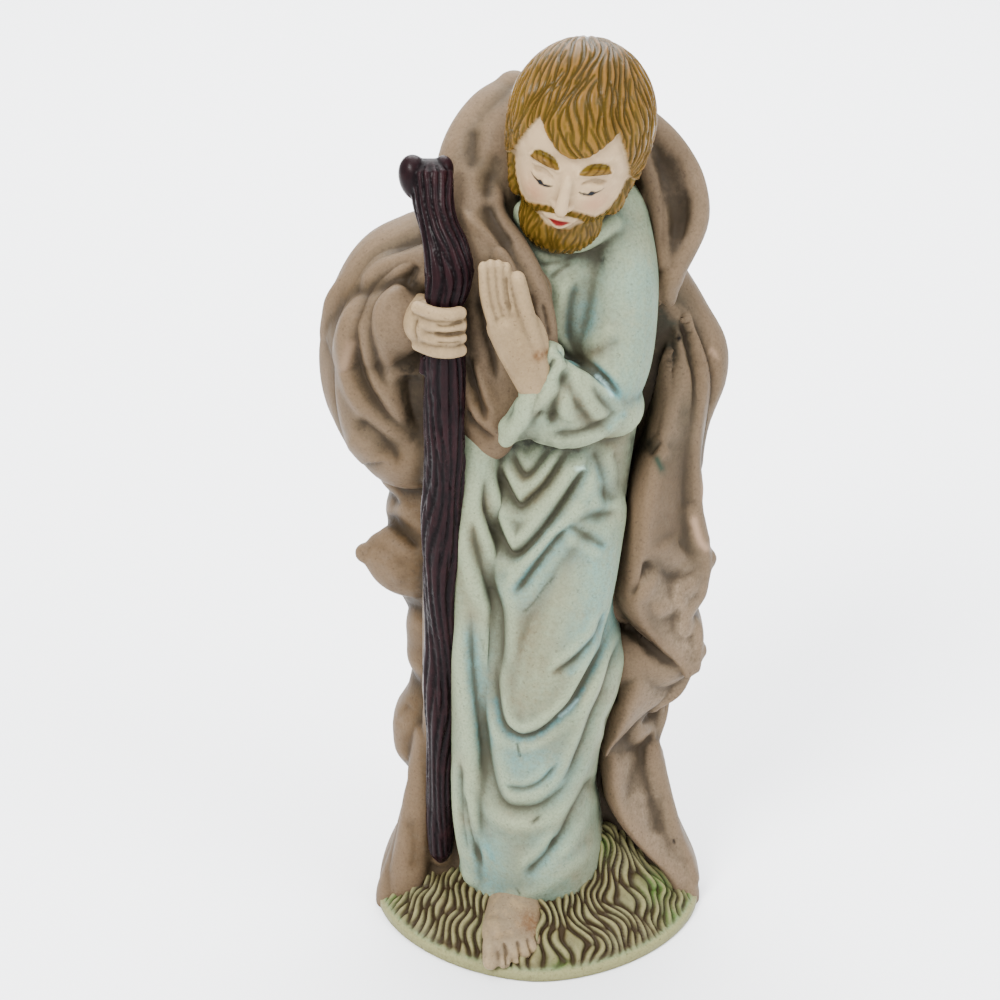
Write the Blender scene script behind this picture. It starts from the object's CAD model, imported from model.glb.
import math

import bpy
import numpy as np
from mathutils import Euler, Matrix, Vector


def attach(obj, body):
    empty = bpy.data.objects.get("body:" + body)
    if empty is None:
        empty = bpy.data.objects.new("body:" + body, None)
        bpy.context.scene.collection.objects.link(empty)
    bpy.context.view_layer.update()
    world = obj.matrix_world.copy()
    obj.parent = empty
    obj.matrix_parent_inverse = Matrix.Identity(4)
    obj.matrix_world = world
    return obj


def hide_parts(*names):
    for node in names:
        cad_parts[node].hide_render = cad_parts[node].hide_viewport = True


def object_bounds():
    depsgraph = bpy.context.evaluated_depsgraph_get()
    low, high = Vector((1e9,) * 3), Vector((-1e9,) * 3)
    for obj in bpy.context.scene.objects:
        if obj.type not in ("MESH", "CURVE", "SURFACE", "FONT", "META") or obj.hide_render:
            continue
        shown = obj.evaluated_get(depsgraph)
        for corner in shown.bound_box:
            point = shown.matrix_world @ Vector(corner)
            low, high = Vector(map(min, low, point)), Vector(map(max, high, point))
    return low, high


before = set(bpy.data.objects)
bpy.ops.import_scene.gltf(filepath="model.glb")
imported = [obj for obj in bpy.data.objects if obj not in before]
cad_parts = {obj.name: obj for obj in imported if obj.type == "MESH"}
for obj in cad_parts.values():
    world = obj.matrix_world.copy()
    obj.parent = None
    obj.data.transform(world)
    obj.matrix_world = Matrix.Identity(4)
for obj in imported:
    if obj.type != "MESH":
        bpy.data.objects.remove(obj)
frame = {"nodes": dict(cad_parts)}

print("frame loaded:", ", ".join(frame["nodes"]))
bpy.ops.object.select_all(action="DESELECT")
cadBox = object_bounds()

figure = {
    "gridTall": 180.0,  # the pose is drawn on the figure's own grid, 180 units to the crown
    "gridMiddle": (0.3, -7.85),  # the grid point that stands on the frame's origin
    "head": (9.8, -13.0, 163.8),
    "headTurn": (22.0, 11.0, -6.0),  # degrees: bowed forward, leaning right, turned left
    "fist": (-14.6, -25.2, 132.8),
    "toes": (-2.2, -33.2, 4.4),
    "corners": ((-26.6, -6.5), (34.4, -5.5)),  # where the cloak's two front corners stand
}
unit = (cadBox[1][2] - cadBox[0][2]) / figure["gridTall"]
gridMiddle = np.array([*figure["gridMiddle"], 0.0])

view = {
    "aim": (-3.85, 0.0, 87.5),  # on the grid
    "distance": 460.0,
    "elevation": 25.0,
    "lens": 86.04,
    "sensor": 36.0,
    "picture": 1000.0,  # pixels across the photograph's frame
}
tilt = math.radians(view["elevation"])
viewAlong = np.array([0.0, math.cos(tilt), -math.sin(tilt)])
viewUp = np.array([0.0, math.sin(tilt), math.cos(tilt)])
eye = np.array(view["aim"]) - view["distance"] * viewAlong
focal = view["lens"] / view["sensor"] * view["picture"]
pixelsPerUnit = focal / view["distance"]
gridPerPixel = 1 / pixelsPerUnit


def asSeen(points):
    # where grid points stand in the camera's picture, in pixels
    away = points - eye
    depth = away @ viewAlong
    across = view["picture"] / 2 + focal * away[:, 0] / depth
    down = view["picture"] / 2 - focal * (away @ viewUp) / depth
    return np.column_stack([across, down])


def pointsOf(piece):
    flat = np.empty(len(piece.data.vertices) * 3)
    piece.data.vertices.foreach_get("co", flat)
    return flat.reshape(-1, 3) / unit + gridMiddle


def normalsOf(piece):
    flat = np.empty(len(piece.data.vertices) * 3)
    piece.data.vertex_normals.foreach_get("vector", flat)
    return flat.reshape(-1, 3)


def placePoints(piece, points):
    piece.data.vertices.foreach_set("co", ((points - gridMiddle) * unit).ravel())
    piece.data.update()


def profile(points, at, soften=2.5):
    # a smooth value at one height, from (height, value) points listed upwards
    heights, values = zip(*points)
    reach = np.linspace(-2.0, 2.0, 17) * soften
    weights = np.exp(-((reach / soften) ** 2))
    return sum(w * np.interp(at + r, heights, values) for r, w in zip(reach, weights)) / weights.sum()


def curveThrough(points, steps=10):
    rows = np.array(points, float)
    rows = np.vstack([2 * rows[0] - rows[1], rows, 2 * rows[-1] - rows[-2]])
    out = []
    for a, b, c, d in zip(rows, rows[1:], rows[2:], rows[3:]):
        for t in np.linspace(0, 1, steps, endpoint=False):
            bend = (2 * a - 5 * b + 4 * c - d) * t * t + (3 * b - a - 3 * c + d) * t**3
            out.append(0.5 * (2 * b + (c - a) * t + bend))
    return np.vstack([out, rows[-2]])


def ballOfRings(name, rings):
    # a UV sphere, each of its rings moved onto a ring of grid points, lowest first
    count, levels = len(rings[0]), len(rings) + 1
    bpy.ops.mesh.primitive_uv_sphere_add(segments=count, ring_count=levels, radius=1)
    piece = bpy.context.object
    piece.name = name
    flat = np.empty(len(piece.data.vertices) * 3)
    piece.data.vertices.foreach_get("co", flat)
    ball = flat.reshape(-1, 3)
    level = np.rint((1 - np.arccos(np.clip(ball[:, 2], -1, 1)) / math.pi) * levels).astype(int)
    turn = np.rint(np.arctan2(ball[:, 1], ball[:, 0]) / (2 * math.pi) * count).astype(int) % count
    stack = np.array(rings)
    at = stack[np.clip(level - 1, 0, len(rings) - 1), turn]
    at[level == 0] = stack[0].mean(axis=0)
    at[level == levels] = stack[-1].mean(axis=0)
    placePoints(piece, at)
    return piece


def upright(name, heights, left, right, front, back, middle, power=2.3, around=96):
    angle = np.linspace(0, 2 * math.pi, around, endpoint=False)
    across = np.sign(np.cos(angle)) * np.abs(np.cos(angle)) ** (2 / power)
    deep = np.sign(np.sin(angle)) * np.abs(np.sin(angle)) ** (2 / power)
    rings = []
    for z in heights:
        low, high, mid = profile(left, z), profile(right, z), profile(middle, z)
        share = np.clip(0.5 + across, 0, 1)
        near = (1 - share) * profile(front[0], z) + share * profile(front[-1], z)
        y = np.where(deep > 0, mid + (profile(back, z) - mid) * deep, mid + (mid - near) * deep)
        x = (low + high) / 2 + (high - low) / 2 * across
        rings.append(np.column_stack([x, y, np.full_like(x, z)]))
    return ballOfRings(name, rings)


def limb(name, stations, facing=(0, -1, 0), around=20):
    # a round-ended tube: each station is x, y, z, half width across, half depth
    line = curveThrough(stations, 8)
    centres, across, deep = line[:, :3], line[:, 3], line[:, 4]
    along = np.gradient(centres, axis=0)
    along /= np.linalg.norm(along, axis=1)[:, None]
    side = np.cross(np.array(facing, float), along)
    side /= np.linalg.norm(side, axis=1)[:, None]
    out = np.cross(along, side)
    angle = np.linspace(0, 2 * math.pi, around, endpoint=False)[:, None]

    def ring(i, shrink, shift):
        spread = np.cos(angle) * side[i] * across[i] + np.sin(angle) * out[i] * deep[i]
        return centres[i] + along[i] * shift + spread * shrink

    turns = np.radians((80, 60, 40, 20))
    radius = (across + deep) / 2
    start = [ring(0, math.cos(t), -radius[0] * math.sin(t)) for t in turns]
    end = [ring(-1, math.cos(t), radius[-1] * math.sin(t)) for t in reversed(turns)]
    return ballOfRings(name, start + [ring(i, 1, 0) for i in range(len(line))] + end)


def egg(name, centre, radii, turn=(0, 0, 0), detail=5):
    place = (np.array(centre) - gridMiddle) * unit
    bpy.ops.mesh.primitive_ico_sphere_add(
        subdivisions=detail, radius=1, location=place, rotation=[math.radians(a) for a in turn],
        scale=[r * unit for r in radii])
    piece = bpy.context.object
    piece.name = name
    bpy.ops.object.transform_apply(location=True, rotation=True, scale=True)
    return piece


def cutAway(piece, tool):
    # takes the tool's shape out of the piece
    bpy.ops.object.select_all(action="DESELECT")
    bpy.context.view_layer.objects.active = piece
    cut = piece.modifiers.new("cutAway", "BOOLEAN")
    cut.operation, cut.object = "DIFFERENCE", tool
    bpy.ops.object.modifier_apply(modifier=cut.name)
    bpy.data.objects.remove(tool)
    return piece


def melt(name, parts, step, soften):
    # several overlapping masses become one even skin, as slip does in a mould
    bpy.ops.object.select_all(action="DESELECT")
    for part in parts:
        part.select_set(True)
    bpy.context.view_layer.objects.active = parts[0]
    bpy.ops.object.join()
    piece = bpy.context.object
    piece.name = piece.data.name = name
    skin = piece.modifiers.new("melt", "REMESH")
    skin.mode, skin.voxel_size = "VOXEL", step * unit
    bpy.ops.object.modifier_apply(modifier=skin.name)
    ease = piece.modifiers.new("ease", "SMOOTH")
    ease.factor, ease.iterations = 0.5, soften
    bpy.ops.object.modifier_apply(modifier=ease.name)
    return piece


def thinOut(piece, triangles):
    # fewer faces where the skin is nearly flat
    piece.data.calc_loop_triangles()
    share = triangles / len(piece.data.loop_triangles)
    if share >= 1:
        return
    bpy.context.view_layer.objects.active = piece
    fewer = piece.modifiers.new("thinOut", "DECIMATE")
    fewer.ratio = share
    bpy.ops.object.modifier_apply(modifier=fewer.name)


def nearLine(points, line):
    # distance to a polyline, positive on its right hand, and how far along it, 0 to 1
    best = np.full(len(points), 1e9)
    along, side = np.zeros(len(points)), np.ones(len(points))
    spans = np.linalg.norm(np.diff(line, axis=0), axis=1)
    starts = np.concatenate([[0], np.cumsum(spans)])
    for a, b, span, start in zip(line, line[1:], spans, starts):
        t = np.clip((points - a) @ (b - a) / max(span * span, 1e-9), 0, 1)
        gap = np.linalg.norm(points - a - t[:, None] * (b - a), axis=1)
        closer = gap < best
        best[closer] = gap[closer]
        along[closer] = ((start + t * span) / starts[-1])[closer]
        turned = (b[0] - a[0]) * (points[:, 1] - a[1]) - (b[1] - a[1]) * (points[:, 0] - a[0])
        side[closer] = np.sign(turned)[closer]
    return best * side, along


def fromFront(piece):
    # the camera's picture, scaled to grid units, and how squarely each point faces it
    points, normals = pointsOf(piece), normalsOf(piece)
    return points, normals, asSeen(points) / pixelsPerUnit, np.clip(-normals @ viewAlong * 3 + 0.3, 0, 1)


def fromSide(axis, sign):
    # square on to the side, the back or the front: (y, z) or (x, z) on the grid
    def look(piece):
        points, normals = pointsOf(piece), normalsOf(piece)
        faces = np.clip(normals[:, axis] * sign * 2.4 - 0.5, 0, 1)
        return points, normals, points[:, [1 - axis, 2]], faces
    return look


def pressFolds(piece, folds, look, scale=1.0, tail=4.0):
    # each fold: half width, height of its line, heights of the rolls on its left and right if it has any, path
    points, normals, flat, faces = look(piece)
    rise = np.zeros(len(points))
    for half, height, *rolls, path in folds:
        leftRoll, rightRoll = rolls or (0.0, 0.0)
        line = curveThrough(np.array(path, float) * scale, 6)
        reach = 5 * half
        inside = (flat > line.min(0) - reach).all(1) & (flat < line.max(0) + reach).all(1)
        near = np.flatnonzero(inside & (faces > 0))
        gap, along = nearLine(flat[near], line)
        fade = np.clip(along * 5, 0, 1) * np.clip((1 - along) * tail, 0, 1)
        fade = fade * fade * (3 - 2 * fade)
        wide = half * (0.7 + 0.3 * fade)
        if height < 0:
            lift = height * (0.62 * np.exp(-((gap / wide / 1.25) ** 2)) + 0.38 * np.exp(-np.abs(gap) / wide * 2.2))
        else:
            lift = height * np.exp(-((gap / wide) ** 2))
        lift += leftRoll * np.exp(-(((gap + 2.2 * wide) / (1.4 * wide)) ** 2))
        lift += rightRoll * np.exp(-(((gap - 2.2 * wide) / (1.4 * wide)) ** 2))
        rise[near] += lift * fade * faces[near]
    placePoints(piece, points + normals * rise[:, None])


def edgesOf(piece):
    flat = np.empty(len(piece.data.edges) * 2, dtype=np.int32)
    piece.data.edges.foreach_get("vertices", flat)
    return flat.reshape(-1, 2)


def averaged(values, edges, rounds):
    a, b = edges.T
    count = len(values)
    near = np.maximum(np.bincount(edges.ravel(), minlength=count), 1)[:, None]
    for _ in range(rounds):
        total = np.column_stack([
            np.bincount(a, column[b], count) + np.bincount(b, column[a], count) for column in values.T])
        values = 0.4 * values + 0.6 * total / near
    return values


def note(piece, name, values):
    # a value for each point, which the paint reads
    layer = piece.data.attributes.new(name, "FLOAT", "POINT")
    layer.data.foreach_set("value", np.ascontiguousarray(values, dtype=np.float32))


def noteHollows(piece, fine=6, broad=60, fineDepth=0.13, broadDepth=0.42):
    # above 0 in grooves and hollows, below 0 on crests
    points, normals, edges = pointsOf(piece), normalsOf(piece), edgesOf(piece)
    near = averaged(points, edges, fine)
    far = averaged(near, edges, broad)
    crisp = ((near - points) * normals).sum(1) / fineDepth
    soft = ((far - points) * normals).sum(1) / broadDepth
    note(piece, "groove", np.clip(averaged(crisp[:, None], edges, 1)[:, 0], -1, 1))
    note(piece, "hollow", np.clip(averaged(soft[:, None], edges, 3)[:, 0], -1, 1))


def stroked(piece, *strokes):
    # how much paint the strokes leave at each point: half width, strength, path of at least two points in pixels
    points, _, flat, faces = fromFront(piece)
    paintOn = np.zeros(len(points))
    for half, strength, path in strokes:
        line = curveThrough(np.array(path, float) * gridPerPixel, 6)
        inside = (flat > line.min(0) - 3 * half).all(1) & (flat < line.max(0) + 3 * half).all(1)
        near = np.flatnonzero(inside & (faces > 0))
        gap, _ = nearLine(flat[near], line)
        paintOn[near] = np.maximum(paintOn[near], strength * np.exp(-((gap / half) ** 2)) * faces[near])
    return paintOn


def dotted(piece, *dots):
    # small round marks: radius, and place in pixels
    points, _, flat, faces = fromFront(piece)
    marks = np.zeros(len(points))
    for radius, place in dots:
        gap = np.linalg.norm(flat - np.array(place) * gridPerPixel, axis=1)
        marks = np.maximum(marks, np.clip((radius - gap) / 0.12 + 0.5, 0, 1) * faces)
    return marks


def onHead(x, y, z):
    turn = Euler([math.radians(a) for a in figure["headTurn"]]).to_matrix()
    return tuple(Vector(figure["head"]) + turn @ Vector((x, y, z)))


def finishPiece(piece, material):
    piece.data.materials.clear()
    piece.data.materials.append(material)
    for polygon in piece.data.polygons:
        polygon.use_smooth = True
    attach(piece, "root")
    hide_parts("figurine")
    print("made", piece.name, len(piece.data.polygons), "faces")


# paints

tones = {
    # how strong a light has to be (second row) to come out at each level of the picture (first row)
    "seen": (0, 32, 58, 87, 117, 145, 165, 177, 188, 197, 205, 214, 223, 235, 245, 255),
    "light": (0, 0.02, 0.05, 0.1, 0.18, 0.3, 0.45, 0.6, 0.8, 1.0, 1.3, 1.8, 2.5, 4.0, 6.5, 12.0),
    "studio": 4.6,  # the light that falls on the figure
}


def paint(red, green, blue):
    # the pigment that looks like this colour, 0 to 255, in the studio's light
    shares = np.interp((red, green, blue), tones["seen"], tones["light"]) / tones["studio"]
    return (*(float(min(share, 0.9)) for share in shares), 1.0)


def addNode(tree, kind, **settings):
    made = tree.nodes.new(kind)
    for name, value in settings.items():
        setattr(made, name, value)
    return made


def readValue(tree, name):
    return addNode(tree, "ShaderNodeAttribute", attribute_name=name).outputs["Fac"]


def mathNode(tree, operation, first, second, clamp=True):
    made = addNode(tree, "ShaderNodeMath", operation=operation, use_clamp=clamp)
    for socket, value in zip(made.inputs, (first, second)):
        if isinstance(value, (int, float)):
            socket.default_value = value
        else:
            tree.links.new(value, socket)
    return made.outputs[0]


def layColour(tree, under, colour, amount):
    made = addNode(tree, "ShaderNodeMix", data_type="RGBA")
    tree.links.new(amount, made.inputs[0])
    if isinstance(under, tuple):
        made.inputs[6].default_value = under
    else:
        tree.links.new(under, made.inputs[6])
    made.inputs[7].default_value = colour
    return made.outputs[2]


def spots(tree, place, size, low, high, detail=4.0, rough=0.6):
    # soft blotches: 0 under low, 1 over high
    noise = addNode(tree, "ShaderNodeTexNoise")
    noise.inputs["Scale"].default_value = 1 / (size * unit)
    noise.inputs["Detail"].default_value = detail
    noise.inputs["Roughness"].default_value = rough
    tree.links.new(place, noise.inputs["Vector"])
    ranged = addNode(tree, "ShaderNodeMapRange")
    ranged.inputs["From Min"].default_value = low
    ranged.inputs["From Max"].default_value = high
    tree.links.new(noise.outputs["Fac"], ranged.inputs["Value"])
    return ranged.outputs["Result"]


def paintedBisque(name, look):
    # paint rubbed over fired bisque: it stays in the hollows and wears off the crests
    material = bpy.data.materials.new(name)
    material.use_nodes = True
    tree = material.node_tree
    shader = tree.nodes["Principled BSDF"]
    place = addNode(tree, "ShaderNodeTexCoord").outputs["Object"]
    colour = look["base"]
    for tone, size, low, high, amount in look["blotches"]:
        colour = layColour(tree, colour, tone, mathNode(tree, "MULTIPLY", spots(tree, place, size, low, high),
                                                        amount))
    for tone, value, amount in look["layers"]:
        wanted = mathNode(tree, "MULTIPLY", readValue(tree, value), amount)
        grain = spots(tree, place, look["grain"], 0.30, 0.62)
        wanted = mathNode(tree, "MULTIPLY", wanted, mathNode(tree, "ADD", grain, look["cover"], False))
        colour = layColour(tree, colour, tone, wanted)
    crest = mathNode(tree, "MULTIPLY", readValue(tree, "hollow"), -look["crestAmount"])
    colour = layColour(tree, colour, look["crest"], crest)
    recess = mathNode(tree, "MULTIPLY", readValue(tree, "hollow"), look["recessAmount"])
    colour = layColour(tree, colour, look["recess"], recess)
    line = mathNode(tree, "MULTIPLY", readValue(tree, "groove"), look["lineAmount"])
    colour = layColour(tree, colour, look["line"], line)
    dirt = mathNode(tree, "ADD", mathNode(tree, "MULTIPLY", readValue(tree, "hollow"), 0.5), 0.55)
    dirt = mathNode(tree, "MULTIPLY", dirt, mathNode(tree, "MULTIPLY", spots(tree, place, 0.5, 0.42, 0.70),
                                                     look["dirt"]))
    colour = layColour(tree, colour, look["recess"], dirt)
    specks = spots(tree, place, 0.75, 0.66, 0.74, 1.0)
    colour = layColour(tree, colour, look["speck"], mathNode(tree, "MULTIPLY", specks, look["speckAmount"]))
    for tone, value in look["marks"]:
        colour = layColour(tree, colour, tone, readValue(tree, value))
    tree.links.new(colour, shader.inputs["Base Color"])
    rough = addNode(tree, "ShaderNodeMapRange")
    rough.inputs["To Min"].default_value, rough.inputs["To Max"].default_value = look["rough"]
    tree.links.new(spots(tree, place, 3.0, 0.3, 0.7), rough.inputs["Value"])
    tree.links.new(rough.outputs["Result"], shader.inputs["Roughness"])
    shader.inputs["Specular IOR Level"].default_value = look["shine"]
    bump = addNode(tree, "ShaderNodeBump")
    bump.inputs["Strength"].default_value = look["bump"]
    bump.inputs["Distance"].default_value = 0.08 * unit
    tree.links.new(spots(tree, place, 0.55, 0.2, 0.8, 3.0), bump.inputs["Height"])
    tree.links.new(bump.outputs["Normal"], shader.inputs["Normal"])
    return material


# cloak, hood and great sleeve

cloakLook = {
    "base": paint(149, 130, 102),
    "blotches": (
        (paint(130, 111, 88), 14.0, 0.45, 0.65, 0.55),
        (paint(170, 154, 134), 6.0, 0.5, 0.7, 0.5),
        (paint(112, 92, 72), 2.0, 0.5, 0.75, 0.35),
    ),
    "layers": (
        (paint(138, 112, 76), "tan", 0.85),
        (paint(186, 173, 152), "pale", 0.8),
        (paint(104, 102, 84), "grey", 0.9),
        (paint(60, 48, 36), "dark", 0.9),
    ),
    "grain": 1.4, "cover": 0.45,
    "crest": paint(177, 159, 132), "crestAmount": 0.6,
    "recess": paint(92, 76, 56), "recessAmount": 0.75,
    "line": paint(66, 52, 38), "lineAmount": 0.5,
    "speck": paint(84, 70, 60), "speckAmount": 0.35,
    "dirt": 0.5, "marks": (
        (paint(74, 98, 78), "green"), (paint(205, 190, 172), "scuffs"), (paint(70, 54, 44), "chips"),
        (paint(24, 20, 16), "pinholes"),
    ),
    "rough": (0.46, 0.62), "shine": 0.06, "bump": 0.35,
}

cloakSize = {"step": 0.46, "soften": 6, "triangles": 195000, "root": -2.2, "spacing": 2.0}

rightFlaps = (
    # how the cloak's right front turns over itself: name, lowest, highest, left, right, fronts at left and right
    ("flapHigh", 53.0, 127.5,
     ((53, 33), (57, 29), (62, 24.2), (67, 19.8), (73, 16.8), (81, 18.2), (94, 20.2), (100, 21.8), (106, 24.2),
      (112, 26), (119, 26.8), (127, 27)),
     ((53, 35.6), (60, 36.2), (68, 35.4), (76, 37.4), (84, 35.6), (94, 34.2), (106, 33.8), (113, 33.6), (119, 32),
      (127, 29.6)),
     (((53, -9), (62, -13), (73, -17.6), (92, -17.0), (100, -13.2), (106, -10.4), (112, -8), (119, -5.6),
       (127, -3.4)),
      ((53, -7), (62, -7.6), (76, -8), (94, -7.4), (106, -6.2), (112, -5.2), (119, -4.2), (127, -3)))),
    ("flapLow", 38.0, 65.0,
     ((38, 15.6), (45, 16.8), (52, 18.6), (62, 22.4), (65, 23)),
     ((38, 19), (42, 27), (48, 32.6), (55, 35.4), (65, 34.6)),
     (((38, -14.4), (52, -12.8), (65, -9)), ((38, -6), (52, -6), (65, -4)))),
    ("drapeRight", 4.0, 43.0,
     ((4, 31), (9, 28.6), (13, 25), (19, 20.6), (26, 16.6), (34, 15.6), (43, 16)),
     ((4, 37.4), (8, 36.4), (14, 33.6), (25, 29.6), (34, 27.6), (43, 27)),
     (((4, -10), (12, -12), (20, -14), (30, -14), (38, -12), (43, -8)), ((4, -8), (14, -7), (30, -5), (43, -3)))),
)


def cloakMasses():
    heights = np.arange(cloakSize["root"], 152.0, cloakSize["spacing"])
    left = ((-4, -28.8), (4, -28.8), (8, -27.8), (12, -26.2), (17, -23.2), (23, -22.2), (30, -23.4), (34, -25),
            (38, -25.6), (42, -25.4), (45, -22), (52, -21.8), (61, -22.6), (70, -24), (80, -25.6), (86, -26),
            (92, -27),
            (98, -25.2), (110, -24), (130, -23), (142, -19), (152, -14))
    right = ((-4, 35.5), (2, 35), (12, 31), (24, 28.4), (34, 28), (41, 30.4), (50, 34), (60, 34.6), (80, 34.6),
             (92, 34.4), (98, 34.6), (103, 34.8), (108, 36.2), (112, 37.6), (118, 38.0), (123, 36.6), (129, 33.6),
             (136, 29), (152, 25))
    leftFront = ((0, -12), (10, -11), (40, -12), (90, -14), (110, -12), (152, -10))
    rightFront = ((0, -10), (20, -6), (60, -5), (100, -3), (114, -5.4), (130, -6.6), (152, -6))
    back = ((0, 19), (20, 18), (60, 16.5), (110, 16), (140, 15.5), (152, 12))
    middle = ((0, -4), (20, -2), (60, 1), (152, 3))
    low = cloakSize["root"]
    made = [upright("cloakBody", heights, left, right, (leftFront, rightFront), back, middle)]
    for x, y in figure["corners"]:
        lean = -1 if x < 0 else 1
        made.append(limb("corner", [
            (x, y, low, 2.6, 3.4), (x, y, 2.4, 2.6, 3.6), (x - 3.6 * lean, y + 1, 11, 3.4, 3.6),
            (x - 6.4 * lean, y + 2, 22, 3.4, 3.4), (x - 8.4 * lean, y + 2.6, 34, 2.6, 2.8)]))
    made.append(limb("tipLeft", [
        (-16, -4, 78, 9, 8), (-22, -5, 78.2, 8.4, 7), (-26, -6, 78.6, 5.8, 5), (-29.6, -6.6, 79.4, 2.0, 2.2)]))
    made.append(limb("tipLeftFold", [
        (-26.4, -5, 79.2, 3.4, 3.6), (-24.4, 1, 77.4, 3.4, 3.4), (-21.4, 8, 75.2, 3, 3.2), (-17, 14, 73, 2.4, 2.6)]))
    made.append(limb("tipRight", [
        (22, -5, 74, 11, 8), (30, -4, 75, 8.4, 6.4), (34, -3.4, 76, 4.4, 4.2), (35.6, -3, 76.4, 2.4, 2.6)]))
    made.append(limb("tipRightLow", [
        (22, -5, 57, 8, 7), (29, -4.4, 56.4, 6.8, 5.6), (33.4, -4, 56.4, 3.6, 3.8), (34.6, -3.6, 56.6, 2.2, 2.4)]))
    made.append(egg("lobe", (28.6, -5.2, 66.0), (6.4, 5.0, 8.4), (0, 6, 0)))
    made.append(egg("gusset", (22.4, -3.0, 41.0), (4.6, 5.4, 6.4)))
    for name, low, high, flapLeft, flapRight, flapFront in rightFlaps:
        made.append(upright(name, np.arange(low, high, 1.5), flapLeft, flapRight, flapFront, ((0, 4), (120, 4)),
                            ((0, -4), (120, -4)), 3.2, 72))
    made.append(limb("skirtLeft", [
        (-18, -8, 40, 3, 3.4), (-20, -8.6, 24, 3.6, 3.4), (-22, -8.6, 10, 4, 3.4), (-23, -8, low, 4, 3.4)]))
    return made


def sleeveMasses():
    return [
        egg("sleeve", (-22.4, -5.0, 118.4), (13.8, 14.4, 22.6), (0, 5, 0)),
        egg("sleeveLow", (-20.2, -5.4, 105.4), (11.2, 12.4, 11.8), (0, 18, 0)),
        limb("shoulder", [(-9, -2, 144, 7, 8), (-16.6, -3, 138.6, 6.6, 8), (-25, -4, 131.6, 6.6, 8)]),
        limb("sleeveMouth", [
            (-27.6, -9, 124, 8, 8.4), (-25.0, -14.4, 128.6, 7.6, 7.4), (-22.0, -18.6, 131.6, 6.4, 6.0)]),
        limb("sleeveBack", [(-12, -13, 141, 4, 4), (-18, -14, 139, 4.6, 4.6), (-24, -12, 135, 5, 5)]),
        limb("sleeveTop", [
            (-18, -3, 140.6, 5.8, 8), (-24.6, -4, 137.4, 5.8, 8.6), (-28.8, -4.6, 131.6, 5.6, 8.6),
            (-30.6, -5, 124.6, 5.2, 8)]),
    ]


def panelMasses():
    return [
        limb("panel", [
            (-6.4, -1, 161, 3.6, 4), (-8.4, -6.6, 154.6, 5.0, 5.2), (-8.6, -11.4, 148, 6.6, 5.8),
            (-7.4, -14.6, 141, 8, 6), (-5, -17, 128, 9.6, 6),
            (-5.4, -17.6, 114, 7.6, 5.6), (-6.4, -17.4, 108.6, 5.4, 4.4)]),
        limb("panelEdge", [
            (-5.4, -9.6, 155.0, 1.6, 2.0), (-4.4, -14.6, 149.4, 2.0, 2.4), (-1.0, -17.4, 145, 2.0, 2.4),
            (2.2, -19.6, 139, 2.1, 2.6),
            (4.2, -21.4, 132, 2.0, 2.6), (4.6, -22.4, 127, 1.8, 2.4)]),
        limb("panelFold", [(-3.6, -19, 143, 1.6, 2), (0.2, -21.4, 137, 1.6, 2), (2, -22.8, 129, 1.5, 2)]),
    ]


def hoodMasses():
    bowl = egg("hood", (8.4, 4.0, 145.0), (21.6, 13.6, 22.6), (0, -4, 0))
    hollow = egg("hoodHollow", (10.4, -12.0, 160.0), (15.0, 14.6, 22.0), (0, 8, 0))
    return [
        cutAway(bowl, hollow),
        limb("hoodLeft", [
            (-1, 3, 166, 4.4, 4.6), (-5.4, 0, 163.4, 5.0, 5.2), (-8.8, -2.8, 158.4, 5.4, 5.6),
            (-10.4, -5.6, 152, 5.6, 5.8),
            (-11, -10, 145, 6.4, 5.8),
            (-9, -13, 138, 7, 5.6)]),
        limb("rimLeft", [
            (-1.6, 3, 167.4, 3.4, 3.8), (-4.6, 0, 163.8, 4.0, 4.2), (-7.2, -4, 157.6, 4.6, 4.6),
            (-8.2, -8.4, 150, 4.8, 4.6), (-7, -12, 143, 4.8, 4.6)]),
        limb("hoodSide", [
            (0.6, -0.6, 165.6, 4, 4), (-3.6, -3.4, 160.6, 5.8, 5.8), (-6, -5.6, 154, 6.6, 6.4),
            (-7, -8.4, 147, 6.4, 6)]),
        limb("hoodInside", [
            (20.6, -0.4, 158.6, 3.2, 3.4), (25.2, -2.6, 152.4, 3.8, 3.4), (27.2, -4.2, 145.4, 3.6, 3.2),
            (26.4, -5.2, 138.4, 2.8, 2.8)]),
        limb("rimRight", [
            (17, 4, 164.4, 3, 3.4), (23.4, 1, 160, 3.4, 3.8), (27.4, -1, 156, 3.4, 3.8), (30, -2.8, 151.2, 3.4, 3.8),
            (30.8, -4.8, 145.4, 3.1, 3.6), (27.8, -6.6, 138.4, 2.9, 3.2), (25.8, -6, 133, 2.4, 3)]),
        limb("innerFold", [
            (19.6, -1, 160.6, 1.8, 2), (23.4, -4.4, 154, 2.0, 2.4), (25.2, -7, 146.6, 2, 2.2),
            (25.8, -8, 139, 1.8, 2)]),
    ]


staff = {"radius": 3.7, "around": 120, "barkDepth": 0.8, "fibres": (7, 10), "step": 0.24, "soften": 1}


def lowerStaff():
    x, y, z = figure["fist"]
    return [
        (x + 1.3, y + 0.6, z, 0.86, 0.9), (x + 1.0, y + 1.0, z - 7, 0.98, 0.98), (-13.9, -22.0, 108, 1.06, 1.0),
        (-14.6, -19.4, 86, 1.02, 0.98), (-15.0, -17.4, 68, 0.94, 0.95), (-15.3, -15.2, 50, 0.86, 0.92),
        (-15.6, -13, 28, 0.80, 0.84), (-15.6, -11.8, 12.6, 0.60, 0.64)]


def staffBacking():
    thick = staff["radius"]
    return [limb("backing", [(x, y + 1.25 * thick, z, thick, 0.95 * thick) for x, y, z, *_ in lowerStaff()])]


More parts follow.
